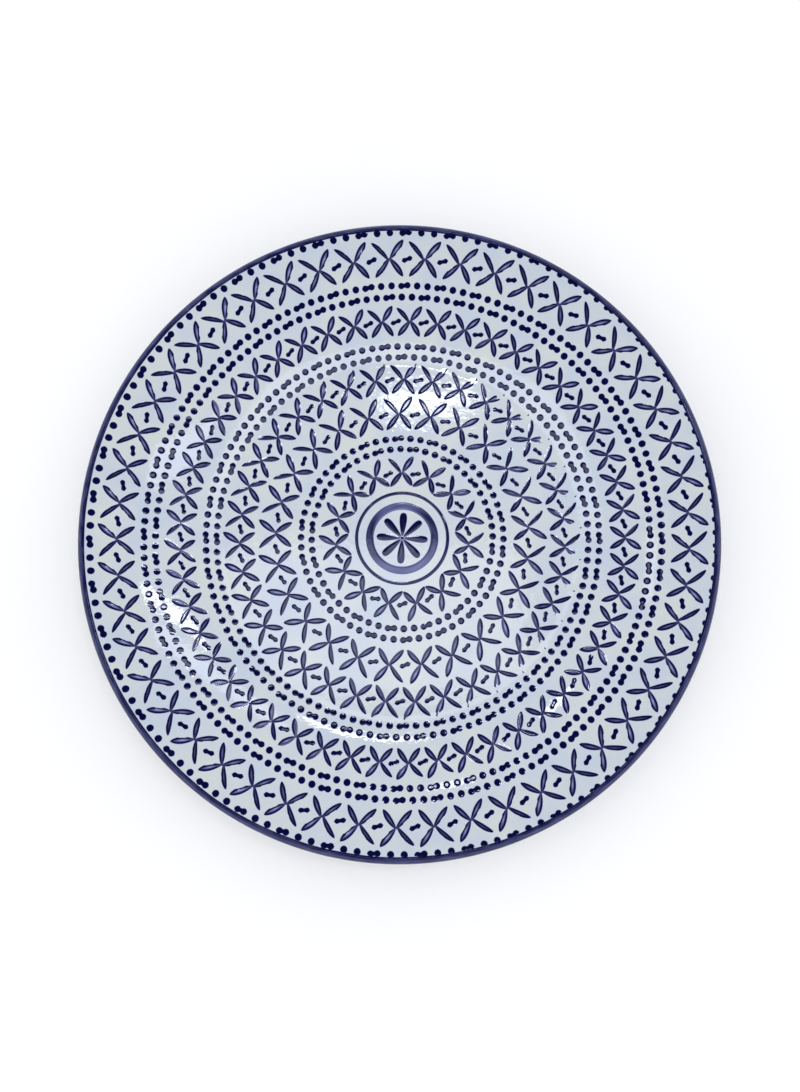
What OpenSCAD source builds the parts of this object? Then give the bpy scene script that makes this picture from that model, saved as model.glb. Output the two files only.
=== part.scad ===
// Hand painted ceramic plate.
// A thrown clay dish with a turned foot ring, white glaze on every face but the
// edge it stands on, and raised blue strokes and dots laid on the glazed face.
// The origin is at the centre of the foot, on the surface that the plate stands on.
// +Z is up. Lengths are millimetres and angles are degrees.

/* [Plate] */
// Diameter over the painted lip
plate_d = 270; // [225:1:324]
// Radius of the flat well, where the heel of the wall starts to rise
well_r = 76; // [64:1:91]
// Radius of the heel's small curve, between the well and the wall
heel_r = 28; // [20:1:40]
// Slope of the wall where it leaves the heel
heel_angle = 6.5; // [4:0.5:10]
// Radius of the hollow curve that the wall rises on
wall_curve_r = 147; // [123:1:176]
// Thickness of the wall, with the glaze on both faces
wall_t = 4.4; // [3.6:0.1:5.4]
// Thickness of the floor inside the foot ring, with the glaze on both faces
floor_t = 5; // [4.8:0.1:6.2]
// Thickness of the glaze
glaze_t = 0.4; // [0.3:0.05:0.5]

/* [Foot ring] */
// Outer radius of the foot ring's clay
foot_r = 75; // [60:1:76]
// Width of the foot ring's clay
foot_w = 5; // [4:0.5:7]
// Depth of the hollow inside the foot ring
foot_depth = 3.6; // [2.8:0.1:5]
// Height of the bare clay at the foot's edge
foot_bare = 1.2; // [0.8:0.1:2]
// Rounding of the foot's edge
foot_round = 0.8; // [0.4:0.1:1]

/* [Painted layer] */
// Height of the paint above the glaze
paint_t = 0.3; // [0.2:0.05:0.5]
// Width of the painted lip, seen from above
band_w = 3; // [2:0.5:5]
// How far the painter's centre is from the plate's axis, to the right and away
paint_shift = [1.33, 0.08]; // [-2:0.01:2]

/* [Rosette] */
// The radii of the rosette and of the rows suit a painted face 132 mm in radius.
// They are all drawn nearer or further apart together to fill the face of this plate.
// Number of petals in the rosette
rosette_petals_n = 8; // [6:1:10]
// Turn of the rosette
rosette_turn = 86.5; // [0:0.5:360]
// Radius at which the rosette's petals start and end
rosette_reach = [1.2, 10.8]; // [1:0.1:13]
// Width of a rosette petal at its inner and outer end
rosette_petal_w = [0.8, 2.6]; // [0.6:0.1:3.2]
// Diameter of the dot in the middle of the rosette
centre_dot_d = 1; // [0.8:0.1:1.6]
// Inner and outer radius of the thick ring
thick_ring = [12.5, 15.5]; // [12:0.1:17]
// Inner and outer radius of the thin ring
thin_ring = [19.1, 20.3]; // [18:0.1:21]

/* [Row places] */
// Step from the thin ring's outer edge to the first row of crosses
ring_to_cross = 8.6; // [8:0.1:11]
// Step from a row of crosses out to the next row of dots, one for each row
cross_to_dots = [10.26, 9.85, 10.02, 9.95]; // [9.5:0.01:13]
// Step between the two rows of dots in a pair of rows
dots_to_dots = 4.64; // [4:0.01:6]
// Step from a pair of dot rows out to the next row of crosses
dots_to_cross = [11.12, 10.81, 10.74]; // [10.5:0.01:14]
// Step between the second and third rows of crosses, which have no dots between them
cross_to_cross = 15.54; // [15:0.01:19]
// Step from the last row of dots to the painted lip
dots_to_band = 0.9; // [0.8:0.1:4]

/* [Row counts and turns] */
// Number of crosses in each row
cross_n = [15, 25, 35, 49, 49]; // [10:1:60]
// Turn of each row of crosses
cross_turn = [18.3, 5, 7.1, 7.2, 4.5]; // [0:0.1:36]
// Number of repeats of one pair and two single dots in each row
dots_n = [16, 18, 32, 34, 43, 44, 43]; // [12:1:50]
// Turn of each row of dots
dots_turn = [15.6, 12.4, 0.3, 10.5, 1, 7.7, 5.6]; // [0:0.1:30]

/* [Strokes] */
// Diameter of a dot
dot_d = 2.5; // [2:0.1:3]
// Distance between the two dots of a pair
pair_gap = 2.65; // [2.3:0.05:3]
// Width of the bridge that joins the dots of a pair
pair_bridge_w = 1.6; // [1:0.1:2]
// Slant of a pair from the row's own line
pair_slant = 6; // [0:1:10]
// Where the two single dots stand between two pairs, in shares of a repeat
single_at = [0.356, 0.645]; // [0.3:0.001:0.7]
// Diameter of a bud's dots
bud_dot_d = 1.95; // [1.6:0.05:2.3]
// Distance between the two dots of a bud
bud_gap = 2.55; // [2.2:0.05:2.8]
// Width of the bridge in a bud
bud_bridge_w = 1.05; // [0.8:0.05:1.4]
// How far a bud sits inside its row's own radius
bud_inset = 0.3; // [0:0.1:1]
// Heights of the left upper, right upper, left lower and right lower petal tips
tip_rise_1 = [5.9, 6.8, -6.2, -5.9]; // [-8:0.1:8]
// The same heights in the second row
tip_rise_2 = [6.6, 7.3, -7, -6.8]; // [-8:0.1:8]
// The same heights in the third row
tip_rise_3 = [6.1, 6.9, -6.4, -6.6]; // [-8:0.1:8]
// The same heights in the fourth row
tip_rise_4 = [5.3, 6.2, -6.2, -6.3]; // [-8:0.1:8]
// The same heights in the fifth row
tip_rise_5 = [6.2, 6.9, -7, -7]; // [-8:0.1:8]
// How far the same four tips lean to the side, in shares of the row's pitch
tip_lean = [-0.475, 0.405, -0.4, 0.355]; // [-0.48:0.005:0.48]

/* [Hidden] */
$fn = 180;

CLAY = [0.78, 0.66, 0.55];
GLAZE = [0.86, 0.88, 0.89];
NAVY = [0.05, 0.05, 0.36];

// Levels and places of the plate's section
glazed_r = plate_d / 2 - paint_t;          // the glazed lip's outermost radius
under_z = foot_depth;                      // underside of the floor inside the foot
face_z = foot_depth + floor_t;             // face of the well
lip_round = wall_t / 2;
middle_r = wall_curve_r + lip_round;       // the wall's own middle line
heel_at = [well_r, face_z + heel_r];       // centre of the heel's curve
wall_at = heel_at + (heel_r - wall_curve_r) * [sin(heel_angle), -cos(heel_angle)];
wall_angle = asin((glazed_r - lip_round - wall_at[0]) / middle_r);
lip_at = wall_at + middle_r * [sin(wall_angle), -cos(wall_angle)];
lip_top_z = lip_at[1] + lip_round;
band_r = plate_d / 2 - band_w;
BIG = plate_d;                             // longer than anything that it cuts

// The row radii follow each other outwards, then the whole pattern is fitted to the lip
cross_1_r = thin_ring[1] + ring_to_cross;
dots_1_r = cross_1_r + cross_to_dots[0];
dots_2_r = dots_1_r + dots_to_dots;
cross_2_r = dots_2_r + dots_to_cross[0];
cross_3_r = cross_2_r + cross_to_cross;
dots_3_r = cross_3_r + cross_to_dots[1];
dots_4_r = dots_3_r + dots_to_dots;
cross_4_r = dots_4_r + dots_to_cross[1];
dots_5_r = cross_4_r + cross_to_dots[2];
dots_6_r = dots_5_r + dots_to_dots;
cross_5_r = dots_6_r + dots_to_cross[2];
rim_dots_r = cross_5_r + cross_to_dots[3];
fit = band_r / (rim_dots_r + dots_to_band);

// Petal roots, and how far each petal's left and right side stands out from its chord
ROOT = [[-0.3, -0.6], [0.5, 0.1], [0.2, 0.2], [0.1, 0.2]];
BULGE = [[0.15, 1.65], [1.4, 1.4], [1.2, 1.2], [1.7, 0.7]];

// ---- section of the plate, inset by g from the glazed surface ----

// A part of a thick curve, between two angles from straight down
module curve_section(at, inner, outer, from, to) {
    translate(at) intersection() {
        difference() {
            circle(outer);
            circle(inner);
        }
        sector(from, to);
    }
}

module sector(from, to) {
    polygon([[0, 0], BIG * [sin(from), -cos(from)], BIG * [sin(to), -cos(to)]]);
}

module dish_section(g) {
    translate([0, under_z + g]) square([foot_r - foot_w / 2, floor_t - 2 * g]);
    translate([0, face_z - wall_t + g]) square([well_r, wall_t - 2 * g]);
    curve_section(heel_at, heel_r + g, heel_r + wall_t - g, 0, heel_angle);
    curve_section(wall_at, wall_curve_r + g, wall_curve_r + wall_t - g, heel_angle, wall_angle);
    translate(lip_at) circle(lip_round - g);
}

module foot_section() {
    translate([foot_r - foot_w, foot_round]) square([foot_w, face_z - wall_t / 2 - foot_round]);
    translate([foot_r - foot_w + foot_round, 0]) square([foot_w - 2 * foot_round, foot_round]);
    for (x = [foot_r - foot_w + foot_round, foot_r - foot_round])
        translate([x, foot_round]) circle(foot_round);
}

// The glaze climbs the foot's two sides from the top of the bare edge
module foot_glaze_section() {
    translate([foot_r - foot_w - glaze_t, foot_bare])
        square([foot_w + 2 * glaze_t, face_z - wall_t / 2 - foot_bare]);
}

module clay_section() {
    dish_section(glaze_t);
    foot_section();
}

module glaze_section() {
    difference() {
        union() {
            dish_section(0);
            foot_glaze_section();
        }
        clay_section();
    }
}

// Everything on the face's side of the wall's middle line
module face_side() {
    translate([0, face_z - wall_t / 2]) square([well_r, heel_r]);
    translate(heel_at) intersection() {
        circle(heel_r + lip_round);
        sector(0, heel_angle);
    }
    translate(wall_at) intersection() {
        circle(middle_r);
        sector(heel_angle, wall_angle + 15);
    }
}

// ---- painted layer ----

// The skin that the paint makes round the whole dish, on the glazed surface
module paint_section() {
    difference() {
        dish_section(-paint_t);
        dish_section(0);
    }
}

// The part of that skin on the face, inside the painted lip, that all strokes are cut from
module paint_layer() {
    rotate_extrude() intersection() {
        paint_section();
        face_side();
        square([band_r, BIG]);
    }
}

// Flat outlines, raised to full height and trimmed to the painted layer
module strokes() {
    intersection() {
        paint_layer();
        translate([paint_shift[0], paint_shift[1], face_z - paint_t])
            linear_extrude(lip_top_z - face_z + 2 * paint_t) children();
    }
}

// Stands its children at radius r and angle a, with their Y axis pointing outwards
module on_row(r, a) {
    rotate(a - 90) translate([0, r]) children();
}

// Radius of a circle through the ends of a chord, standing out from it by b
function bulge_r(chord, b) = (chord * chord / 4 + b * b) / (2 * b);

// A leaf from one point to another, its left side standing out by b[0] and its right by b[1].
// The left side is hollow where the stroke bends, so it is cut away there.
module leaf(from, to, b, hollow_left = false) {
    span = to - from;
    chord = norm(span);
    left_r = bulge_r(chord, b[0]);
    right_r = bulge_r(chord, b[1]);
    translate(from) rotate(atan2(span[1], span[0]) - 90) translate([0, chord / 2])
        if (hollow_left)
            difference() {
                translate([b[1] - right_r, 0]) circle(right_r, $fn = 96);
                translate([b[0] - left_r, 0]) circle(left_r, $fn = 360);
            }
        else
            intersection() {
                translate([b[1] - right_r, 0]) circle(right_r, $fn = 96);
                translate([left_r - b[0], 0]) circle(left_r, $fn = 96);
            }
}

module petal_cross(pitch, rise) {
    for (i = [0:3])
        leaf(ROOT[i], [tip_lean[i] * pitch, rise[i] * fit], BULGE[i], hollow_left = i == 0);
}

module cross_ring(r, n, turn, rise) {
    color(NAVY) strokes()
        for (i = [0:n - 1])
            on_row(r * fit, turn + i * 360 / n) petal_cross(2 * PI * r * fit / n, rise);
}

module dumbbell(d, gap, bridge_w) {
    rotate(pair_slant) {
        for (s = [-1, 1]) translate([s * gap / 2, 0]) circle(d / 2, $fn = 32);
        square([gap, bridge_w], center = true);
    }
}

module bud_ring(r, n, turn) {
    color(NAVY) strokes()
        for (i = [0:n - 1])
            on_row(r * fit - bud_inset, turn + (i + 0.5) * 360 / n)
                dumbbell(bud_dot_d, bud_gap, bud_bridge_w);
}

// Each repeat is one joined pair of dots and two single ones
module dot_ring(r, n, turn) {
    color(NAVY) strokes()
        for (i = [0:n - 1]) {
            on_row(r * fit, turn + i * 360 / n) dumbbell(dot_d, pair_gap, pair_bridge_w);
            for (s = single_at)
                on_row(r * fit, turn + (i + s) * 360 / n) circle(dot_d / 2, $fn = 32);
        }
}

module flat_ring(radii) {
    color(NAVY) strokes() difference() {
        circle(radii[1] * fit);
        circle(radii[0] * fit);
    }
}

// ---- sub-parts ----

module clay_body() {
    color(CLAY) rotate_extrude() clay_section();
}

module face_glaze() {
    color(GLAZE) rotate_extrude() intersection() {
        glaze_section();
        face_side();
    }
}

// The glaze outside the foot ring, from its bare edge up to the lip
module back_glaze() {
    color(GLAZE) rotate_extrude() difference() {
        glaze_section();
        face_side();
        square([foot_r - foot_w / 2, face_z]);
    }
}

// The glaze inside the foot ring
module foot_well_glaze() {
    color(GLAZE) rotate_extrude() intersection() {
        difference() {
            glaze_section();
            face_side();
        }
        square([foot_r - foot_w / 2, face_z]);
    }
}

// The painted lip laps over the edge, as far down the outside as it reaches in on the face
module rim_band() {
    color(NAVY) rotate_extrude() difference() {
        paint_section();
        square([band_r, BIG]);
    }
}

module rosette_dot() {
    color(NAVY) strokes() circle(centre_dot_d / 2, $fn = 32);
}

// Each petal widens outwards to a round end
module rosette_petals() {
    start_w = rosette_petal_w[0] * fit;
    end_w = rosette_petal_w[1] * fit;
    start_y = rosette_reach[0] * fit;
    end_y = rosette_reach[1] * fit - end_w / 2;
    color(NAVY) strokes()
        for (i = [0:rosette_petals_n - 1])
            on_row(0, rosette_turn + i * 360 / rosette_petals_n) {
                polygon([
                    [-start_w / 2, start_y], [start_w / 2, start_y],
                    [end_w / 2, end_y], [-end_w / 2, end_y]
                ]);
                translate([0, end_y]) circle(end_w / 2, $fn = 32);
            }
}

module rosette_thick_ring() { flat_ring(thick_ring); }
module rosette_thin_ring() { flat_ring(thin_ring); }

module cross_row_1() { cross_ring(cross_1_r, cross_n[0], cross_turn[0], tip_rise_1); }
module cross_row_2() { cross_ring(cross_2_r, cross_n[1], cross_turn[1], tip_rise_2); }
module cross_row_3() { cross_ring(cross_3_r, cross_n[2], cross_turn[2], tip_rise_3); }
module cross_row_4() { cross_ring(cross_4_r, cross_n[3], cross_turn[3], tip_rise_4); }
module cross_row_5() { cross_ring(cross_5_r, cross_n[4], cross_turn[4], tip_rise_5); }

module bud_row_1() { bud_ring(cross_1_r, cross_n[0], cross_turn[0]); }
module bud_row_2() { bud_ring(cross_2_r, cross_n[1], cross_turn[1]); }
module bud_row_3() { bud_ring(cross_3_r, cross_n[2], cross_turn[2]); }
module bud_row_4() { bud_ring(cross_4_r, cross_n[3], cross_turn[3]); }
module bud_row_5() { bud_ring(cross_5_r, cross_n[4], cross_turn[4]); }

module dot_row_1() { dot_ring(dots_1_r, dots_n[0], dots_turn[0]); }
module dot_row_2() { dot_ring(dots_2_r, dots_n[1], dots_turn[1]); }
module dot_row_3() { dot_ring(dots_3_r, dots_n[2], dots_turn[2]); }
module dot_row_4() { dot_ring(dots_4_r, dots_n[3], dots_turn[3]); }
module dot_row_5() { dot_ring(dots_5_r, dots_n[4], dots_turn[4]); }
module dot_row_6() { dot_ring(dots_6_r, dots_n[5], dots_turn[5]); }

// The last row of dots runs into the painted lip on one side, and stops at its edge
module rim_dots() { dot_ring(rim_dots_r, dots_n[6], dots_turn[6]); }

clay_body();
face_glaze();
back_glaze();
foot_well_glaze();
rim_band();
rosette_dot();
rosette_petals();
rosette_thick_ring();
rosette_thin_ring();
cross_row_1();
cross_row_2();
cross_row_3();
cross_row_4();
cross_row_5();
bud_row_1();
bud_row_2();
bud_row_3();
bud_row_4();
bud_row_5();
dot_row_1();
dot_row_2();
dot_row_3();
dot_row_4();
dot_row_5();
dot_row_6();
rim_dots();
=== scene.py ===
# %% [markdown]
# # A hand painted ceramic plate
#
# A dinner plate like this one is thrown in clay, fired, dipped in white glaze and painted
# in cobalt blue. Nearly all of its charm sits in the last tenth of a millimetre: strokes
# that stand a little proud, blue that bleeds into the glaze, and a gloss that ripples.
# The lesson builds those layers one by one on top of a measured model of the plate.

# %% Load the measured model
import math
import random

import bmesh
import bpy
from mathutils import Matrix, Vector, noise


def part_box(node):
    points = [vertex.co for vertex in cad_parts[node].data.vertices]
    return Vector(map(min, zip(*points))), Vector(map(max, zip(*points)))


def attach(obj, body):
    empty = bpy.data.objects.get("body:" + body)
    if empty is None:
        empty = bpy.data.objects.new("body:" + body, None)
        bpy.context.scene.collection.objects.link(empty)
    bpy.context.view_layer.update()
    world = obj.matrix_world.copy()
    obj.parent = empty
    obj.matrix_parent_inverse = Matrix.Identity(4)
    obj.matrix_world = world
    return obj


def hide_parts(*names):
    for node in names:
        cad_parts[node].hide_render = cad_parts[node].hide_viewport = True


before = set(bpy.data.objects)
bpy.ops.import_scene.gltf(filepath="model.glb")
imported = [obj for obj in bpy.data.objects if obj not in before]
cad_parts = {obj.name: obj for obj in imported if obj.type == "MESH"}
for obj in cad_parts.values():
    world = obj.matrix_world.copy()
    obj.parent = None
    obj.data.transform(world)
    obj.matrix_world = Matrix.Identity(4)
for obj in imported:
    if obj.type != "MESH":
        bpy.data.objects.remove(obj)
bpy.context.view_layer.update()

MM = 0.001
print("pieces in the measured model:", len(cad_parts))

# %% [markdown]
# ## The shape that everything lies on
#
# The face is a flat well, a short heel and one long hollow curve that rises to a round
# lip. Every stroke of paint has to follow that face, so it is written once, as a function
# that gives the height at any place. The levels come from the measured model, and only
# the few sizes that a potter would set by hand are repeated here.

# %% Radii and levels of the face
WELL_R = 76 * MM          # where the heel of the wall starts to rise
HEEL_R = 28 * MM          # radius of the heel's small curve
HEEL_DEG = 6.5            # slope of the wall where it leaves the heel
WALL_CURVE_R = 147 * MM   # radius of the wall's hollow curve
WALL_T = 4.4 * MM         # thickness of the wall, glaze included
GLAZE_T = 0.4 * MM


def down_and_out(degrees):
    """A unit (radius, height) arrow, its angle counted outwards from straight down."""
    return Vector((math.sin(math.radians(degrees)), -math.cos(math.radians(degrees))))


FACE_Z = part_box("rosette_dot")[0].z
PAINT_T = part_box("rosette_dot")[1].z - FACE_Z
PLATE_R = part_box("rim_band")[1].x
LIP_ROUND = WALL_T / 2
LIP_R = PLATE_R - PAINT_T - LIP_ROUND
HEEL_AT = Vector((WELL_R, FACE_Z + HEEL_R))
WALL_AT = HEEL_AT + (HEEL_R - WALL_CURVE_R) * down_and_out(HEEL_DEG)
MIDDLE_R = WALL_CURVE_R + LIP_ROUND
WALL_DEG = math.degrees(math.asin((LIP_R - WALL_AT.x) / MIDDLE_R))
LIP_AT = WALL_AT + MIDDLE_R * down_and_out(WALL_DEG)
HEEL_END = (HEEL_AT + HEEL_R * down_and_out(HEEL_DEG)).x        # where the long curve starts
EDGE_R = (WALL_AT + WALL_CURVE_R * down_and_out(WALL_DEG)).x    # where it meets the lip
BAND_W = 3 * MM           # width of the painted lip, seen from above
BAND_R = PLATE_R - BAND_W
print("plate radius %.1f mm, lip top %.2f mm" % (PLATE_R / MM, (LIP_AT.y + LIP_ROUND) / MM))

# %% [markdown]
# ## Ripples in the glaze
#
# A hand-dipped glaze is never flat. It keeps a ghost of the throwing rings under it, and
# it pools in slow waves a few centimetres long. The waves are only hundredths of a
# millimetre high and the rings thousandths, yet they bend the edge of every reflection,
# so they are real geometry.

# %% Height of the glazed face
RING_STEP = 9 * MM        # distance between throwing rings
RING_WAVE = 0.004 * MM    # height of a throwing ring
POOL_WAVE = 0.03 * MM     # height of the slow waves
POOL_SIZE = 26 * MM       # size of the slow waves
CALM_W = 6 * MM           # how far before the painted lip the ripples start to die away


def ripple(x, y):
    """Height of the ripples above the plain face."""
    r = math.hypot(x, y)
    calm = min(1.0, max(0.0, (BAND_R - r) / CALM_W))
    rings = RING_WAVE * math.sin(2 * math.pi * r / RING_STEP)
    pools = POOL_WAVE * noise.noise(Vector((x, y, 0)) / POOL_SIZE)
    return calm * (rings + pools)


def face_lean(r):
    """Sine of the face's slope at radius r."""
    if r < HEEL_END:
        return max(0.0, r - WELL_R) / HEEL_R
    if r < EDGE_R:
        return (r - WALL_AT.x) / WALL_CURVE_R
    return max(-1.0, (LIP_R - r) / LIP_ROUND)


def plain_z(r):
    """Height of the face at radius r, before its ripples."""
    up = math.sqrt(1 - face_lean(r) ** 2)
    if r < HEEL_END:
        return HEEL_AT.y - HEEL_R * up
    if r < EDGE_R:
        return WALL_AT.y - WALL_CURVE_R * up
    return LIP_AT.y + LIP_ROUND * up


def on_face(x, y, height):
    """The point that stands at this height above the glaze, square to it."""
    r = math.hypot(x, y)
    lean = face_lean(r)
    up = math.sqrt(1 - lean * lean)
    pull = height * lean / r if r else 0.0
    z = plain_z(r) + ripple(x, y) + height * up
    return Vector((x * (1 - pull), y * (1 - pull), z))


# %% [markdown]
# ## From a profile to a turned form
#
# Everything a potter turns on a wheel is a profile swept about the axis. A short chain of
# points is spun a full turn with the operator that does just that, the seam and the pole
# are merged, and the normals are made to point outwards.

# %% Spin a profile, and finish a piece
SAME_POINT = 0.002 * MM   # points nearer than this are merged
SHARP_DEG = 50            # edges that turn by more than this are shaded sharp


def turned(profile, closed=False, steps=360):
    """A bmesh of a full turn of a chain of (radius, height) points."""
    bm = bmesh.new()
    chain = [bm.verts.new((r, 0, z)) for r, z in profile]
    for a, b in zip(chain, chain[1:] + chain[:1] * closed):
        bm.edges.new((a, b))
    bmesh.ops.spin(bm, geom=bm.verts[:] + bm.edges[:], cent=(0, 0, 0), axis=(0, 0, 1),
                   dvec=(0, 0, 0), angle=2 * math.pi, steps=steps, use_merge=True)
    bmesh.ops.remove_doubles(bm, verts=bm.verts, dist=SAME_POINT)
    bmesh.ops.recalc_face_normals(bm, faces=bm.faces)
    return bm


def arc(centre, radius, start, end, steps):
    """Points on an arc, its angles in degrees from straight down, turning outwards."""
    turns = [start + (end - start) * i / steps for i in range(steps + 1)]
    return [tuple(Vector(centre) + radius * down_and_out(turn)) for turn in turns]


def piece(name, bm, material, slot, *nodes):
    """Turns a bmesh into a finished piece that stands for the named nodes."""
    mesh = bpy.data.meshes.new(name)
    bm.to_mesh(mesh)
    bm.free()
    mesh.shade_smooth()
    mesh.set_sharp_from_angle(angle=math.radians(SHARP_DEG))
    mesh.materials.append(material)
    obj = bpy.data.objects.new(name, mesh)
    bpy.context.collection.objects.link(obj)
    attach(obj, "root")
    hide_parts(*nodes)
    print("%-20s %6d faces" % (name, len(mesh.polygons)))
    return obj


# %% [markdown]
# ## Shader groups: fine gloss, and blue that bleeds
#
# Two effects are shared. The first is the glaze's fine orange peel, which breaks up
# highlights at the scale of a millimetre. The second is the way that cobalt bleeds: going
# out from a stroke, the colour falls from navy through lilac to the plain glaze. Both
# are node groups with named sockets, so that every material can place them.

# %% Helpers that keep node trees readable
def add(tree, kind, values=None, **settings):
    """A new node, its inputs set or linked by values, and its other settings by name."""
    node = tree.nodes.new(kind)
    for key, value in settings.items():
        setattr(node, key, value)
    for key, value in (values or {}).items():
        if isinstance(value, bpy.types.NodeSocket):
            tree.links.new(value, node.inputs[key])
        else:
            node.inputs[key].default_value = value
    return node


def ramp(tree, fac, stops):
    """A colour ramp, with stops as (position, colour or grey)."""
    node = add(tree, "ShaderNodeValToRGB", {"Fac": fac})
    for i, (at, colour) in enumerate(stops):
        colour = (colour,) * 3 if isinstance(colour, float) else colour
        stop = node.color_ramp.elements[i] if i < 2 else node.color_ramp.elements.new(at)
        stop.position = at
        stop.color = (*colour, 1)
    return node.outputs["Color"]


def group(name, inputs, outputs):
    """An empty node group with named sockets, and its two end nodes."""
    tree = bpy.data.node_groups.new(name, "ShaderNodeTree")
    for label, kind, value in inputs:
        socket = tree.interface.new_socket(label, in_out="INPUT", socket_type=kind)
        socket.default_value = value
    for label, kind in outputs:
        tree.interface.new_socket(label, in_out="OUTPUT", socket_type=kind)
    return tree, add(tree, "NodeGroupInput"), add(tree, "NodeGroupOutput")


# %% The fine skin of the glaze
def glaze_skin_group():
    tree, given, out = group(
        "glaze skin",
        [("Ripple Size", "NodeSocketFloat", 3.0), ("Ripple Height", "NodeSocketFloat", 0.01)],
        [("Cloud", "NodeSocketFloat"), ("Roughness", "NodeSocketFloat"),
         ("Normal", "NodeSocketVector")])
    place = add(tree, "ShaderNodeTexCoord").outputs["Object"]
    in_mm = add(tree, "ShaderNodeVectorMath", {0: place, "Scale": 1 / MM}, operation="SCALE")
    cell = add(tree, "ShaderNodeMath", {0: 1.0, 1: given.outputs["Ripple Size"]},
               operation="DIVIDE")
    peel = add(tree, "ShaderNodeTexNoise",
               {"Vector": in_mm.outputs[0], "Scale": cell.outputs[0], "Detail": 1.5})
    height = add(tree, "ShaderNodeMath",
                 {0: peel.outputs["Fac"], 1: given.outputs["Ripple Height"]},
                 operation="MULTIPLY")
    bump = add(tree, "ShaderNodeBump", {"Height": height.outputs[0], "Distance": MM})
    cloud = add(tree, "ShaderNodeTexNoise",
                {"Vector": in_mm.outputs[0], "Scale": 1 / 17, "Detail": 4.0})
    rough = add(tree, "ShaderNodeMapRange",
                {"Value": cloud.outputs["Fac"], "To Min": 0.03, "To Max": 0.06})
    tree.links.new(cloud.outputs["Fac"], out.inputs["Cloud"])
    tree.links.new(rough.outputs[0], out.inputs["Roughness"])
    tree.links.new(bump.outputs[0], out.inputs["Normal"])
    return tree


# %% The bleed round a stroke
IOR = 1.5                 # of the glaze and of the paint melted into it
GLAZE_COOL = (0.530, 0.600, 0.690)
GLAZE_WARM = (0.610, 0.650, 0.650)
HALO = (0.50, 0.52, 0.80)                # where the blue has bled into the glaze
NAVY = (0.0008, 0.0018, 0.022)
NAVY_THIN = (0.0015, 0.0030, 0.055)
# also the colour of the lip's crest line, partly a painted highlight, and of the paler rosette
# petals, partly a painted reflection
WASH_BLUE = (0.320, 0.350, 0.720)        # the pale middles of petals


def glaze_colour(tree, cloud):
    """The glaze's colour, which drifts from cooler to warmer."""
    return ramp(tree, cloud, [(0.35, GLAZE_COOL), (0.65, GLAZE_WARM)])


def mixed(tree, fac, a, b):
    """Colour a where fac is 0 and b where it is 1; each is a tuple or a socket."""
    node = add(tree, "ShaderNodeMix", {"Factor": fac}, data_type="RGBA")
    for socket, colour in ((node.inputs[6], a), (node.inputs[7], b)):
        if isinstance(colour, tuple):
            socket.default_value = (*colour, 1)
        else:
            tree.links.new(colour, socket)
    return node.outputs[2]


def cobalt_group():
    """Core is 0 out on the plain glaze, 0.5 at a stroke's edge and 1 in its middle."""
    tree, given, out = group(
        "cobalt",
        [("Core", "NodeSocketFloat", 1.0), ("Wash", "NodeSocketFloat", 0.0),
         ("Cloud", "NodeSocketFloat", 0.5)],
        [("Color", "NodeSocketColor")])
    core, wash = given.outputs["Core"], given.outputs["Wash"]
    bleed = ramp(tree, core, [(0.03, 0.0), (1.0, 1.0), (0.25, 0.5), (0.36, 1.0)])
    edge = ramp(tree, core, [(0.32, 0.0), (1.0, 1.0), (0.39, 0.80), (0.43, 1.0)])
    glaze = mixed(tree, bleed, glaze_colour(tree, given.outputs["Cloud"]), HALO)
    deep = mixed(tree, given.outputs["Cloud"], NAVY, NAVY_THIN)
    paint = mixed(tree, wash, deep, WASH_BLUE)
    tree.links.new(mixed(tree, edge, glaze, paint), out.inputs["Color"])
    return tree


SKIN = glaze_skin_group()
COBALT = cobalt_group()

# %% [markdown]
# ## Three finishes
#
# White glaze, blue paint under the same gloss, and bare clay at the foot. The glaze and
# the paint share one skin, because on the plate they melted into one glassy layer.

# %% White glaze
def principled(name):
    material = bpy.data.materials.new(name)
    material.use_nodes = True
    tree = material.node_tree
    shader = tree.nodes["Principled BSDF"]
    return material, tree, shader


def white_glaze():
    material, tree, shader = principled("white glaze")
    skin = add(tree, "ShaderNodeGroup", node_tree=SKIN)
    skin.inputs["Ripple Size"].default_value = 2.0
    skin.inputs["Ripple Height"].default_value = 0.020
    colour = glaze_colour(tree, skin.outputs["Cloud"])
    tree.links.new(colour, shader.inputs["Base Color"])
    tree.links.new(skin.outputs["Roughness"], shader.inputs["Roughness"])
    tree.links.new(skin.outputs["Normal"], shader.inputs["Normal"])
    shader.inputs["IOR"].default_value = IOR
    return material


# %% Blue paint
def blue_paint():
    material, tree, shader = principled("blue paint")
    skin = add(tree, "ShaderNodeGroup", node_tree=SKIN)
    skin.inputs["Ripple Size"].default_value = 1.6
    skin.inputs["Ripple Height"].default_value = 0.004
    core = add(tree, "ShaderNodeAttribute", attribute_name="core")
    wash = add(tree, "ShaderNodeAttribute", attribute_name="wash")
    cobalt = add(tree, "ShaderNodeGroup", node_tree=COBALT)
    tree.links.new(core.outputs["Fac"], cobalt.inputs["Core"])
    tree.links.new(wash.outputs["Fac"], cobalt.inputs["Wash"])
    tree.links.new(skin.outputs["Cloud"], cobalt.inputs["Cloud"])
    tree.links.new(cobalt.outputs["Color"], shader.inputs["Base Color"])
    tree.links.new(skin.outputs["Roughness"], shader.inputs["Roughness"])
    tree.links.new(skin.outputs["Normal"], shader.inputs["Normal"])
    shader.inputs["IOR"].default_value = IOR
    return material


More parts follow.
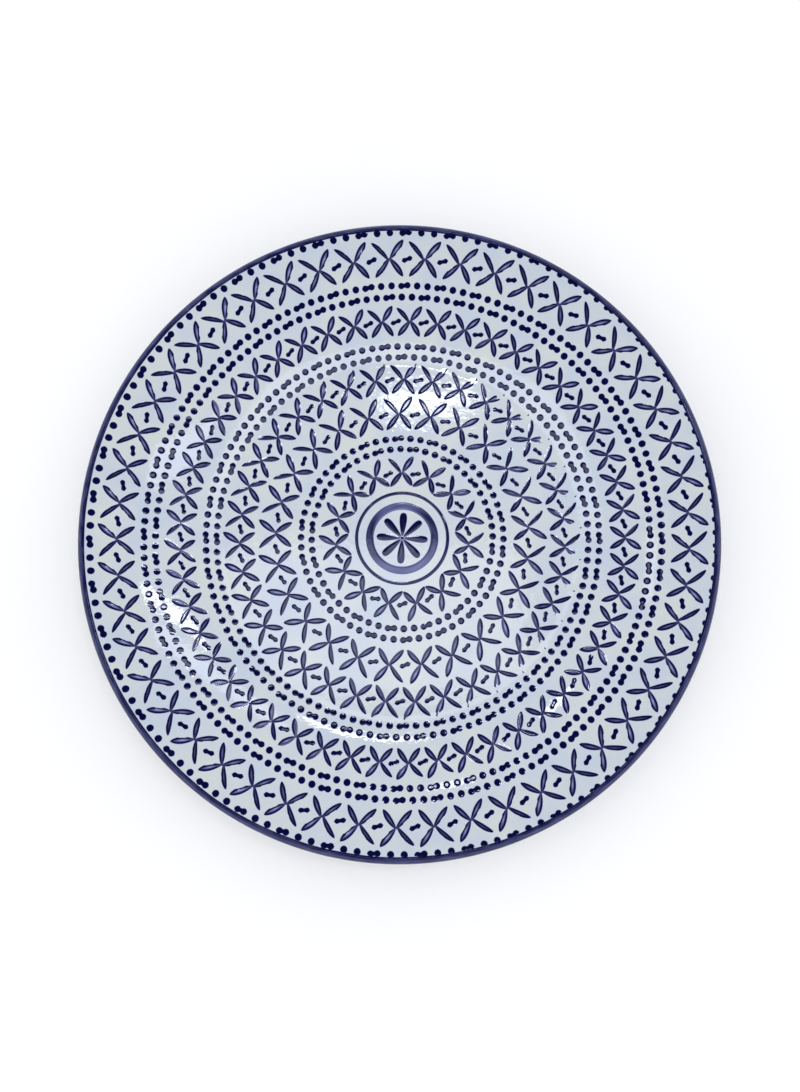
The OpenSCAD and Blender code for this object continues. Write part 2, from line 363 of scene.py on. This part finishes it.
# %% Bare fired clay
def bare_clay():
    material, tree, shader = principled("bare clay")
    place = add(tree, "ShaderNodeTexCoord").outputs["Object"]
    in_mm = add(tree, "ShaderNodeVectorMath", {0: place, "Scale": 1 / MM}, operation="SCALE")
    grit = add(tree, "ShaderNodeTexNoise",
               {"Vector": in_mm.outputs[0], "Scale": 2.2, "Detail": 6.0, "Roughness": 0.7})
    stain = add(tree, "ShaderNodeTexNoise",
                {"Vector": in_mm.outputs[0], "Scale": 0.08, "Detail": 3.0})
    tone = ramp(tree, grit.outputs["Fac"], [(0.3, (0.40, 0.28, 0.19)), (0.7, (0.62, 0.48, 0.36))])
    colour = mixed(tree, stain.outputs["Fac"], tone, (0.66, 0.56, 0.45))
    bump = add(tree, "ShaderNodeBump",
               {"Height": grit.outputs["Fac"], "Strength": 0.7, "Distance": 0.12 * MM})
    tree.links.new(colour, shader.inputs["Base Color"])
    tree.links.new(bump.outputs[0], shader.inputs["Normal"])
    shader.inputs["Roughness"].default_value = 0.85
    return material


GLAZE = white_glaze()
PAINT = blue_paint()
CLAY = bare_clay()
print("finishes:", [m.name for m in (GLAZE, PAINT, CLAY)])

# %% [markdown]
# ## The clay body
#
# The body is all but hidden. Only the edge of the foot ring stays bare, because glaze
# there would glue the plate to the kiln shelf. So the body is turned as one closed form
# a glaze's thickness inside the surface, with a rounded foot that shows.

# %% Turn the clay
FOOT_OUT = 75 * MM        # outer radius of the foot ring's clay
FOOT_IN = 70 * MM         # its inner radius
FOOT_ROUND = 0.8 * MM     # rounding of its edge
FLOOR_T = 5 * MM          # thickness of the flat middle, glaze included
UNDER_Z = FACE_Z - FLOOR_T
BACK_Z = FACE_Z - WALL_T
FILLET = 0.6 * MM         # where the glaze turns from the back down to the foot
HEEL_STEPS = 5
BACK_STEPS = 25
LAP_DEG = 10              # the round of the lip stops this short of each side of the wall


def face_profile(inset, steps):
    """The face from its middle to the lip, inset from the glazed surface."""
    flat = [(WELL_R * i / steps, FACE_Z - inset) for i in range(steps)]
    heel = arc(HEEL_AT, HEEL_R + inset, 0, HEEL_DEG, HEEL_STEPS)
    return flat + heel + arc(WALL_AT, WALL_CURVE_R + inset, HEEL_DEG, WALL_DEG, steps)[1:]


def lip_profile(inset, end=LAP_DEG, steps=12):
    """The round lip, from just past the face's edge towards the outside's edge."""
    return arc(LIP_AT, LIP_ROUND - inset, WALL_DEG + (180 - LAP_DEG), WALL_DEG + end, steps)


def back_profile(inset):
    """The outside of the wall, from the lip to where it meets the flat."""
    wall = arc(WALL_AT, WALL_CURVE_R + WALL_T - inset, WALL_DEG, HEEL_DEG, BACK_STEPS)
    return wall + arc(HEEL_AT, HEEL_R + WALL_T - inset, HEEL_DEG, 0, HEEL_STEPS)[1:]


def clay_body():
    outer_edge = arc((FOOT_OUT - FOOT_ROUND, FOOT_ROUND), FOOT_ROUND, 90, 0, 6)
    inner_edge = arc((FOOT_IN + FOOT_ROUND, FOOT_ROUND), FOOT_ROUND, 0, -90, 6)
    profile = face_profile(GLAZE_T, 20) + lip_profile(GLAZE_T) + back_profile(GLAZE_T)
    profile += [(FOOT_OUT, BACK_Z + GLAZE_T)] + outer_edge + inner_edge
    profile += [(FOOT_IN, UNDER_Z + GLAZE_T), (0, UNDER_Z + GLAZE_T)]
    return piece("fired_clay", turned(profile), CLAY, "fired_clay", "clay_body")


clay_body()

# %% [markdown]
# ## Three fields of glaze
#
# The glaze is a glassy coat 0.4 mm thick. On the face it is one thin closed shell, and its
# upper side gets the ripples. On the outside it runs from the lip down to the foot ring,
# where it stops in a soft, slightly wandering line above the bare edge. A third field
# fills the hollow inside the foot.

# %% The face's glaze
GLAZES_MEET = 90          # degrees round the lip where face and outside meet
LIP_STEPS = 8


def face_glaze():
    upper = face_profile(0, 60) + lip_profile(0, GLAZES_MEET, LIP_STEPS)
    lower = lip_profile(GLAZE_T, GLAZES_MEET, LIP_STEPS)[::-1] + face_profile(GLAZE_T, 20)[::-1]
    bm = turned(upper + lower)
    for v in bm.verts:
        r = math.hypot(v.co.x, v.co.y)
        if v.co.z > plain_z(r) - GLAZE_T / 2:
            v.co.z += ripple(v.co.x, v.co.y)
    return piece("face_of_white_glaze", bm, GLAZE, "white_glaze", "face_glaze")


face_glaze()

# %% The glaze on the outside and inside the foot
GLAZE_LINE = 1.7 * MM     # where the glaze stops above the standing surface
WANDER = 0.25 * MM        # how far that line strays up and down
WANDER_BELOW = GLAZE_LINE + 0.9 * MM
BITE = 0.05 * MM          # how far the glaze reaches into the foot ring's clay
FILLET_STEPS = 5
UNDER_STEPS = 20


def run_down(bm, seed):
    """Lets the lower edge of a glaze field wander up and down like a wiped line."""
    for v in bm.verts:
        if v.co.z < WANDER_BELOW:
            way = Vector((v.co.x, v.co.y, 0)).normalized() * 5
            v.co.z += WANDER * noise.noise(way + Vector((0, 0, seed)))


def hem(foot_r, side):
    """The glaze's thinning lower edge on the foot ring; side is 1 outside it, -1 inside."""
    return [(foot_r + side * GLAZE_T, GLAZE_LINE + 0.6 * MM),
            (foot_r + side * GLAZE_T * 0.8, GLAZE_LINE + 0.15 * MM),
            (foot_r - side * BITE, GLAZE_LINE)]


def back_glaze():
    half = LIP_STEPS // 2
    outer = lip_profile(0, steps=LIP_STEPS)[half:] + back_profile(0)
    fillet_at = (FOOT_OUT + GLAZE_T + FILLET, BACK_Z - FILLET)
    fillet = arc(fillet_at, FILLET, 180, 270, FILLET_STEPS)
    inner = [(FOOT_OUT - BITE, BACK_Z + GLAZE_T)] + back_profile(GLAZE_T)[::-1]
    inner += lip_profile(GLAZE_T, steps=LIP_STEPS)[half:][::-1]
    bm = turned(outer + fillet + hem(FOOT_OUT, 1) + inner, closed=True)
    run_down(bm, 1)
    return piece("glaze_outside", bm, GLAZE, "white_glaze", "back_glaze")


def foot_well_glaze():
    fillet_at = (FOOT_IN - GLAZE_T - FILLET, UNDER_Z - FILLET)
    fillet = arc(fillet_at, FILLET, 180, 90, FILLET_STEPS)
    flat = [(FOOT_IN * i / UNDER_STEPS, UNDER_Z) for i in range(UNDER_STEPS)]
    top = [(FOOT_IN + BITE, UNDER_Z + GLAZE_T), (0, UNDER_Z + GLAZE_T)]
    bm = turned(flat + fillet + hem(FOOT_IN, -1) + top)
    run_down(bm, 2)
    return piece("glaze_inside_foot", bm, GLAZE, "white_glaze", "foot_well_glaze")


back_glaze()
foot_well_glaze()

# %% [markdown]
# ## How paint lies on the glaze
#
# A brush leaves a drop that rises within a third of a millimetre of its edge and then runs
# level, less than a twentieth of a millimetre proud. Outside that edge the cobalt bleeds
# into the glaze for almost a millimetre. Both depend on one thing only, the distance to
# the stroke's edge, so height and colour come from that distance. Below, it counts
# positive inside the stroke.

# %% Height and strength of paint
BLEED = 0.9 * MM          # how far the colour creeps into the glaze
SHOULDER = 0.35 * MM      # how far in from its edge the paint still rises
PAINT_TOP = 0.045 * MM    # its height once level
PAINT_EDGE = 0.018 * MM   # its height at the stroke's edge
BURIED = 0.02 * MM        # how deep the bleed's far edge is sunk in the glaze
PATTERN_AT = Vector((1.33 * MM, 0.08 * MM, 0))      # the painter's centre


def paint_height(d, top=PAINT_TOP):
    """Height above the glaze at distance d inside the stroke's edge."""
    if d < 0:
        return PAINT_EDGE + (PAINT_EDGE + BURIED) * d / BLEED
    rise = 1 - min(1.0, d / SHOULDER)
    return PAINT_EDGE + (top - PAINT_EDGE) * (1 - rise * rise)


def paint_core(d):
    """The cobalt group's Core at distance d inside the stroke's edge."""
    return 0.5 + 0.5 * (d / BLEED if d < 0 else min(1.0, d / SHOULDER))


def lay(v, layers, x, y, d, wash=0.0):
    """Puts one vertex on the face, with its height, strength and wash."""
    v.co = on_face(x, y, paint_height(d))
    v[layers[0]] = paint_core(d)
    v[layers[1]] = wash


def paint_layers(bm):
    return bm.verts.layers.float.new("core"), bm.verts.layers.float.new("wash")


def painted(name, bm, node):
    return piece(name, bm, PAINT, "blue_paint", node)


# %% [markdown]
# ## Rings round the rosette
#
# The plate turned on a banding wheel under a still brush, so these two are true rings.
# The painter's centre is a little off the plate's own, which the whole pattern shares.

# %% Paint a ring
RING_SPINS = 144
THICK_LOADED = (178, 22)  # degrees round the thick ring where the brush was full


def ring(name, node, inner, outer, wash_at):
    middle = (inner + outer) / 2
    side = (outer - inner) / 2
    reach = side + BLEED
    share = [0, 0.5 * side / reach, 0.8 * side / reach, side / reach, 1]
    share = [-s for s in share[:0:-1]] + share
    # The heights only keep the chain from closing flat: lay() gives the real ones.
    chain = [(middle + reach * s, MM - MM * abs(s)) for s in share]
    bm = turned(chain, closed=True, steps=RING_SPINS)
    layers = paint_layers(bm)
    for v in bm.verts:
        r = v.co.xy.length
        turn = math.degrees(math.atan2(v.co.y, v.co.x)) % 360
        x, y = (v.co + PATTERN_AT).xy
        lay(v, layers, x, y, side - abs(r - middle), wash_at(turn, (r - middle) / side))
    return painted(name, bm, node)


def thick_wash(turn, across):
    """The brush ran drier over the top of the thick ring and most of its foot."""
    loaded = max(math.cos(math.radians(turn - full)) for full in THICK_LOADED)
    streak = 0.06 * math.sin(turn / 9 + 2 * across)
    return 0.30 - 0.42 * max(0.0, loaded - 0.45) + streak * (1 - across * across)


def thin_wash(turn, across):
    """The thin ring is dark all the way round."""
    return 0.03 + 0.03 * math.sin(math.radians(turn + 200))


ring("thick_ring", "rosette_thick_ring", 12.6 * MM, 15.4 * MM, thick_wash)
ring("thin_ring", "rosette_thin_ring", 19.25 * MM, 20.15 * MM, thin_wash)

# %% [markdown]
# ## The painted lip
#
# The last ring laps right over the lip and ends on the outside. It is spun from a chain
# that follows the lip's own section. Its inner edge wanders by a tenth of a millimetre
# as a hand-held brush does, which is done by moving the distance that colour and height
# are read from. A lighter line follows the crest round: partly paint that runs thin over
# the crest, partly a painted highlight.

# %% Paint the lip
FACE_DEG = 180 + math.degrees(math.asin((LIP_R - BAND_R) / LIP_ROUND))
BACK_R = WALL_CURVE_R + WALL_T
BACK_DEG = math.degrees(math.asin((BAND_R - WALL_AT.x) / BACK_R))
BAND_TOP = 0.28 * MM      # height of the paint on the lip, thicker than a stroke's
BAND_SPLIT = 0.1 * MM     # the band starts this far above and below the lip's surface
BAND_WANDER = 0.16 * MM
CREST_AT = 1.6 * MM       # the lighter line's distance from the band's edge
CREST_W = 1.1 * MM        # how far it fades to each side
# strength of the crest's lighter line: thinner paint there, and a painted highlight
CREST_THIN_PAINT_AND_HIGHLIGHT = 0.22
STREAK_WASH = 0.12


def band_place(flat):
    """Nearest centre, surface radius and distance from the band's edge, at (radius, height)."""
    arm = flat - LIP_AT
    deg = math.degrees(math.atan2(arm.x, -arm.y)) % 360
    if deg > WALL_DEG + 0.01:
        return LIP_AT, LIP_ROUND, math.radians(FACE_DEG - deg) * LIP_ROUND
    arm = flat - WALL_AT
    deg = math.degrees(math.atan2(arm.x, -arm.y))
    return WALL_AT, BACK_R, math.radians(deg - BACK_DEG) * BACK_R


def painted_lip():
    ends = FACE_DEG + math.degrees(BLEED / LIP_ROUND), BACK_DEG - math.degrees(BLEED / BACK_R)
    rows = []
    for lift in (BAND_SPLIT, -BAND_SPLIT):
        lip = arc(LIP_AT, LIP_ROUND + lift, ends[0], WALL_DEG, 28)
        rows.append(lip + arc(WALL_AT, BACK_R + lift, WALL_DEG, ends[1], 8)[1:])
    bm = turned(rows[0] + rows[1][::-1], closed=True)
    layers = paint_layers(bm)
    for v in bm.verts:
        flat = Vector((v.co.xy.length, v.co.z))
        centre, radius, d = band_place(flat)
        outer = (flat - centre).length > radius
        way = v.co.xy.normalized()
        d += BAND_WANDER * noise.noise(Vector((way.x, way.y, 0)) * 9)
        # the lighter line along the crest, partly thinner paint and partly a painted highlight
        crest_thin_and_highlight = max(0.0, 1 - abs(d - CREST_AT) / CREST_W)
        streak = STREAK_WASH * noise.noise(Vector((way.x * 30, way.y * 30, d * 900)))
        v[layers[0]] = paint_core(d)
        v[layers[1]] = max(0.0, CREST_THIN_PAINT_AND_HIGHLIGHT * crest_thin_and_highlight + streak)
        if outer:
            flat = centre + (flat - centre).normalized() * (radius + paint_height(d, BAND_TOP))
            v.co = (way.x * flat.x, way.y * flat.x, flat.y)
    return painted("painted_lip", bm, "rim_band")


painted_lip()

# %% [markdown]
# ## A drop of paint
#
# Every dot, bud and petal is one small drop. There are over 1,500, so the drop has to be
# light: a low cone of sixteen or twenty sides, sliced level three times. That leaves four
# bands, one for the bleed and three for the paint. A copy is stamped for each stroke, and
# its points are moved to the stroke's own outline, so that all drops share one layout.

# %% Build the drop and stamp it
DROP_RINGS = (1.0, 0.72, 0.4)     # radii of its level cuts; 1 is the stroke's edge
DROP_REACH = 1.4                  # radius of its outermost ring, the bleed's far edge


def drop(sides):
    """The template that paint_row stamps."""
    bm = bmesh.new()
    bmesh.ops.create_cone(bm, cap_ends=True, cap_tris=False, segments=sides,
                          radius1=DROP_REACH, radius2=0, depth=1)
    bmesh.ops.translate(bm, verts=bm.verts, vec=(0, 0, 0.5))
    for ring_r in DROP_RINGS:
        bmesh.ops.bisect_plane(bm, geom=bm.verts[:] + bm.edges[:] + bm.faces[:],
                               plane_co=(0, 0, 1 - ring_r / DROP_REACH), plane_no=(0, 0, 1))
    mesh = bpy.data.meshes.new("drop")
    bm.to_mesh(mesh)
    print("drop of %d sides: %d faces" % (sides, len(bm.faces)))
    bm.free()
    return mesh


DROP_16 = drop(16)
DROP_20 = drop(20)


def place_at(r, turn):
    """Moves a row's flat coordinates out to radius r and round to a turn in degrees."""
    return (Matrix.Translation(PATTERN_AT) @ Matrix.Rotation(math.radians(turn - 90), 4, "Z")
            @ Matrix.Translation((0, r, 0)))


def paint_row(name, node, places, strokes):
    """Stamps each stroke, a (drop, shape) pair, at each place of a row."""
    bm = bmesh.new()
    for place in places:
        for template, shape in strokes:
            first = len(bm.verts)
            bm.from_mesh(template)
            bm.verts.ensure_lookup_table()
            layers = [bm.verts.layers.float.get(n) or bm.verts.layers.float.new(n)
                      for n in ("core", "wash")]
            load = hand.uniform(-1, 1)
            for v in bm.verts[first:]:
                rho = v.co.xy.length
                x, y, d, wash = shape(rho, math.atan2(v.co.y, v.co.x), load)
                point = place @ Vector((x, y, 0))
                lay(v, layers, point.x, point.y, d, wash)
    return painted(name, bm, node)


def creep(rho):
    """How far past the stroke's edge a point of the drop goes: only its outermost ring does."""
    return BLEED if rho > 1.1 else 0.0


hand = random.Random(17)

# %% [markdown]
# ## Petals
#
# A petal is pressed with a pointed brush: it starts thin, swells and ends in a point. The
# outline is a leaf that can lean fuller to its tip and bow to one side. Paint pools along
# the outline and leaves the middle pale, more so in some petals than in others, and it is
# thin again where the petals meet. That paler middle is the wash.

# %% The leaf shape
PALE_WIDE = 0.45          # where the pale middle ends, as a share of the petal's half width
PALE_LONG = 0.85          # and as a share of its half length


def leaf(root, tip, width, bow=0.0, pale=0.5, full=0.22, point=0.6):
    """A shape for paint_row, from root to tip, its widths and bow in metres."""
    root, tip = Vector(root), Vector(tip)
    half = (tip - root).length / 2
    along = (tip - root) / (2 * half)
    right = Vector((along.y, -along.x))

    def shape(rho, a, load):
        inside = min(rho, 1.0)
        t = math.sin(a) * inside ** 0.6
        swell = (1 + full * t) * (1 + 0.04 * load) * width / 2
        edge = swell * max(0.0, 1 - t * t) ** ((1 + point) / 2)
        x = math.cos(a) * abs(math.cos(a)) ** point * inside * swell
        d = min(max(0.0, edge - abs(x)), (1 - abs(t)) * half) if rho < 0.99 else 0.0
        out = Vector((math.cos(a) * half, math.sin(a) * width / 2)).normalized()
        step = creep(rho)
        x += bow * (1 - t * t) + out.x * step
        spot = (root + tip) / 2 + along * (t * half + out.y * step) + right * x
        wash = pale * max(0.0, 1 - inside * abs(math.cos(a)) / PALE_WIDE)
        wash *= max(0.0, 1 - abs(t) / PALE_LONG)
        wash += 0.15 * max(0.0, -0.6 - t) / 0.4
        return spot.x, spot.y, d if step == 0 else -BLEED, wash * (1 + 0.15 * load)

    return shape


# %% [markdown]
# ## The rosette
#
# Eight club-shaped petals fan out from a tiny dot in the middle. Each has a pale middle.
# The upper ones are darkest, the lower ones paler and the one to the right the palest of
# all: there the ceiling's hazy reflection over the lower half of the well is painted in.

# %% Paint the rosette
# how pale each petal's middle is, with a painted reflection added to the lower and right ones
ROSETTE_PALE_AND_REFLECTION = (0.02, 0.05, 0.12, 0.10, 0.12, 0.14, 0.30, 0.05)   # anticlockwise from the top
ROSETTE_TURN = 86.5       # degrees to the first of them, counted from the right
ROSETTE_ENDS = (1.0, 10.9)        # mm from the middle to a petal's two ends
ROSETTE_W = 2.3 * MM


def dot(diameter, at=(0, 0)):
    """A shape for paint_row: one round dot."""
    def shape(rho, a, load):
        radius = diameter / 2 * (1 + 0.03 * load)
        r = radius * min(rho, 1.0) + creep(rho)
        d = -BLEED if creep(rho) else radius - r
        return at[0] + r * math.cos(a), at[1] + r * math.sin(a), d, 0.0

    return shape


def rosette_petals():
    petals = []
    for i, pale in enumerate(ROSETTE_PALE_AND_REFLECTION):
        turn = Matrix.Rotation(math.radians(i * 45 + ROSETTE_TURN - 90), 2)
        club = [turn @ Vector((0, r * MM)) for r in ROSETTE_ENDS]
        petals.append((DROP_20, leaf(*club, ROSETTE_W, pale=pale, full=0.6, point=-0.25)))
    return paint_row("rosette_petals", "rosette_petals", [place_at(0, 90)], petals)


paint_row("rosette_dot", "rosette_dot", [place_at(0, 90)], [(DROP_16, dot(1.0 * MM))])
rosette_petals()

# %% [markdown]
# ## Rows of crosses and buds
#
# Five rows of four-petal crosses ring the plate, with a bud between each two crosses: two
# small dots pulled together by one touch of the brush. All crosses of a row share their
# petals' places, which is how the pattern stays so even.

# %% The paired dots
def pair(diameter, gap, bridge, slant=6):
    """Two dots on one line, joined by a bridge, as one outline about their middle."""
    lean = math.radians(slant)

    def outline(a):
        c, s = gap / 2 * abs(math.cos(a)), gap / 2 * math.sin(a)
        lobe = diameter ** 2 / 4 - s * s
        waist = bridge / 2 / max(abs(math.sin(a)), 0.01)
        return max(c + math.sqrt(lobe), min(waist, gap)) if lobe > 0 else waist

    def shape(rho, a, load):
        edge = outline(a) * (1 + 0.02 * load)
        r = edge * min(rho, 1.0) + creep(rho)
        d = -BLEED if creep(rho) else (edge - r) * 0.8
        return r * math.cos(a + lean), r * math.sin(a + lean), d, 0.0

    return shape


# %% Paint the crosses and buds
CROSS_ROWS = (
    # radius, count, turn, heights of the four tips in mm, pale middles of the four petals
    (28.90, 15, 18.3, (5.9, 6.8, -6.2, -5.9), (0.12, 0.90, 0.35, 0.30)),
    (54.92, 25, 5.0, (6.6, 7.3, -7.0, -6.8), (0.15, 1.00, 0.50, 0.35)),
    (70.46, 35, 7.1, (6.1, 6.9, -6.4, -6.6), (0.15, 1.00, 0.50, 0.35)),
    (95.76, 49, 7.2, (5.3, 6.2, -6.2, -6.3), (0.20, 1.00, 0.60, 0.40)),
    (121.16, 49, 4.5, (6.2, 6.9, -7.0, -7.0), (0.20, 1.00, 0.60, 0.40)),
)
# One value for each of a cross's four petals, in mm where not said otherwise.
ROOTS = ((-0.3, -0.6), (0.3, 0.1), (0.1, 0.2), (0.1, 0.2))
TIP_LEAN = (-0.475, 0.405, -0.40, 0.355)       # shares of the row's pitch
WIDTHS = (1.6, 2.3, 2.0, 2.0)
BOWS = (0.4, 0.0, 0.0, -0.2)
BUD = pair(1.85 * MM, 2.25 * MM, 1.0 * MM, slant=18)
BUD_IN = 0.3              # mm by which buds lie nearer the middle than their crosses

for number, (r, count, turn, rises, pales) in enumerate(CROSS_ROWS, 1):
    pitch = 2 * math.pi * r / count
    petals = []
    for root, lean, rise, width, bow, pale in zip(ROOTS, TIP_LEAN, rises, WIDTHS, BOWS, pales):
        root = Vector(root) * MM
        tip = Vector((lean * pitch, rise)) * MM
        petals.append((DROP_20, leaf(root, tip, width * MM, bow * MM, pale)))
    turns = [turn + i * 360 / count for i in range(count)]
    paint_row("crosses_%d" % number, "cross_row_%d" % number,
              [place_at(r * MM, t) for t in turns], petals)
    paint_row("buds_%d" % number, "bud_row_%d" % number,
              [place_at((r - BUD_IN) * MM, t + 180 / count) for t in turns], [(DROP_20, BUD)])

# %% [markdown]
# ## Rows of dots
#
# Each row repeats one joined pair and two single dots, painted from the banding wheel.
# The last row runs under the painted lip on one side, since the pattern's centre is off.

# %% Paint the dots
DOT_ROWS = (
    # piece, node, radius in mm, repeats, turn of the first
    ("dots_1", "dot_row_1", 39.16, 16, 15.6),
    ("dots_2", "dot_row_2", 43.80, 18, 12.4),
    ("dots_3", "dot_row_3", 80.31, 32, 0.3),
    ("dots_4", "dot_row_4", 84.95, 34, 10.5),
    ("dots_5", "dot_row_5", 105.78, 43, 1.0),
    ("dots_6", "dot_row_6", 110.42, 44, 7.7),
    ("dots_at_lip", "rim_dots", 131.11, 43, 5.6),
)
SINGLES_AT = (0.356, 0.645)       # shares of a repeat
DOT_D = 2.5 * MM
DOT_PAIR = pair(2.4 * MM, 2.6 * MM, 1.3 * MM)

for name, node, r, count, turn in DOT_ROWS:
    step = 360 / count
    strokes = [(DROP_20, DOT_PAIR)]
    for share in SINGLES_AT:
        arm = math.radians(share * step)
        at = (-r * MM * math.sin(arm), r * MM * (math.cos(arm) - 1))
        strokes.append((DROP_16, dot(DOT_D, at)))
    paint_row(name, node, [place_at(r * MM, turn + i * step) for i in range(count)], strokes)

# %% [markdown]
# ## Floor, camera and light
#
# A plain pale floor takes a soft shadow. The camera stands almost square over the plate.
# Gloss shows what is above it: dim panels of ceiling, the largest of which fogs the lower
# half of the well, and small bright windows whose reflections the ripples break up. All
# are so far off that only their direction counts, so their corners are given as slopes.

# %% Floor
FLOOR_REACH = 4           # metres from the plate to the floor's edge


def pale_floor():
    bm = bmesh.new()
    bmesh.ops.create_grid(bm, x_segments=1, y_segments=1, size=FLOOR_REACH)
    mesh = bpy.data.meshes.new("floor")
    bm.to_mesh(mesh)
    bm.free()
    material, tree, shader = principled("pale floor")
    place = add(tree, "ShaderNodeTexCoord").outputs["Object"]
    cloud = add(tree, "ShaderNodeTexNoise", {"Vector": place, "Scale": 3.0, "Detail": 2.0})
    tone = ramp(tree, cloud.outputs["Fac"], [(0.3, 0.93), (0.7, 0.96)])
    tree.links.new(tone, shader.inputs["Base Color"])
    shader.inputs["Roughness"].default_value = 0.95
    mesh.materials.append(material)
    obj = bpy.data.objects.new("floor", mesh)
    bpy.context.collection.objects.link(obj)


pale_floor()

# %% Camera
CAMERA_FAR = 484 * MM
CAMERA_TILT = (6.657, 0.671)      # degrees about X, then about Y
CAMERA_LENS = 36.87               # mm
CAMERA_SHIFT = (-0.00194, -0.0072)


def set_camera():
    data = bpy.data.cameras.new("camera")
    data.lens = CAMERA_LENS
    data.shift_x, data.shift_y = CAMERA_SHIFT
    camera = bpy.data.objects.new("camera", data)
    bpy.context.collection.objects.link(camera)
    camera.matrix_world = (
        Matrix.Translation(PATTERN_AT + Vector((0, 0, FACE_Z)))
        @ Matrix.Rotation(math.radians(CAMERA_TILT[0]), 4, "X")
        @ Matrix.Rotation(math.radians(CAMERA_TILT[1]), 4, "Y")
        @ Matrix.Translation((0, 0, CAMERA_FAR)))
    bpy.context.scene.camera = camera
    print("camera at", [round(c, 4) for c in camera.matrix_world.translation])


set_camera()

# %% Light
LAMP_FAR = 12.0           # metres from the plate up to the plane that every lamp hangs in
DAYLIGHT = (0.93, 1.0, 1.25)      # colour of every lamp, a cool white
ROOM_SEEN = (1.0, 1.0, 1.0)       # the even light of the room
ROOM_MIRRORED = (0.03, 0.03, 0.035)       # what gloss shows of it: next to nothing


def lamp(name, low, high, radiance):
    """A panel overhead, its corners as (x, y) slopes seen from the plate."""
    size = [(b - a) * LAMP_FAR for a, b in zip(low, high)]
    data = bpy.data.lights.new(name, "AREA")
    data.shape = "RECTANGLE"
    data.size, data.size_y = size
    data.color = DAYLIGHT
    data.energy = radiance * math.pi ** 2 * size[0] * size[1]
    obj = bpy.data.objects.new(name, data)
    bpy.context.collection.objects.link(obj)
    middle = [(a + b) / 2 * LAMP_FAR for a, b in zip(low, high)]
    obj.matrix_world = Matrix.Translation((*middle, LAMP_FAR))


def room_light():
    """Even light from all round, which gloss mirrors only faintly."""
    world = bpy.data.worlds.new("room")
    bpy.context.scene.world = world
    world.use_nodes = True
    tree = world.node_tree
    path = add(tree, "ShaderNodeLightPath")
    tone = mixed(tree, path.outputs["Is Glossy Ray"], ROOM_SEEN, ROOM_MIRRORED)
    tree.links.new(tone, tree.nodes["Background"].inputs["Color"])
    tree.nodes["Background"].inputs["Strength"].default_value = 1.0


room_light()
lamp("ceiling", (-0.17, -0.03), (0.10, 0.11), 0.6)
lamp("ceiling_right", (0.19, -0.04), (0.43, 0.035), 1.0)
lamp("ceiling_left", (-0.46, 0.12), (-0.40, 0.24), 0.8)
lamp("window_near", (-0.03, 0.236), (0.055, 0.258), 5.5)
lamp("window_right", (0.19, 0.215), (0.44, 0.240), 7.0)
lamp("window_upper", (0.10, 0.27), (0.42, 0.33), 1.0)
lamp("window_left", (-0.22, 0.30), (-0.18, 0.34), 6.0)
lamp("window_far", (-0.13, 0.51), (-0.07, 0.55), 6.0)
bpy.context.scene.view_settings.view_transform = "Standard"
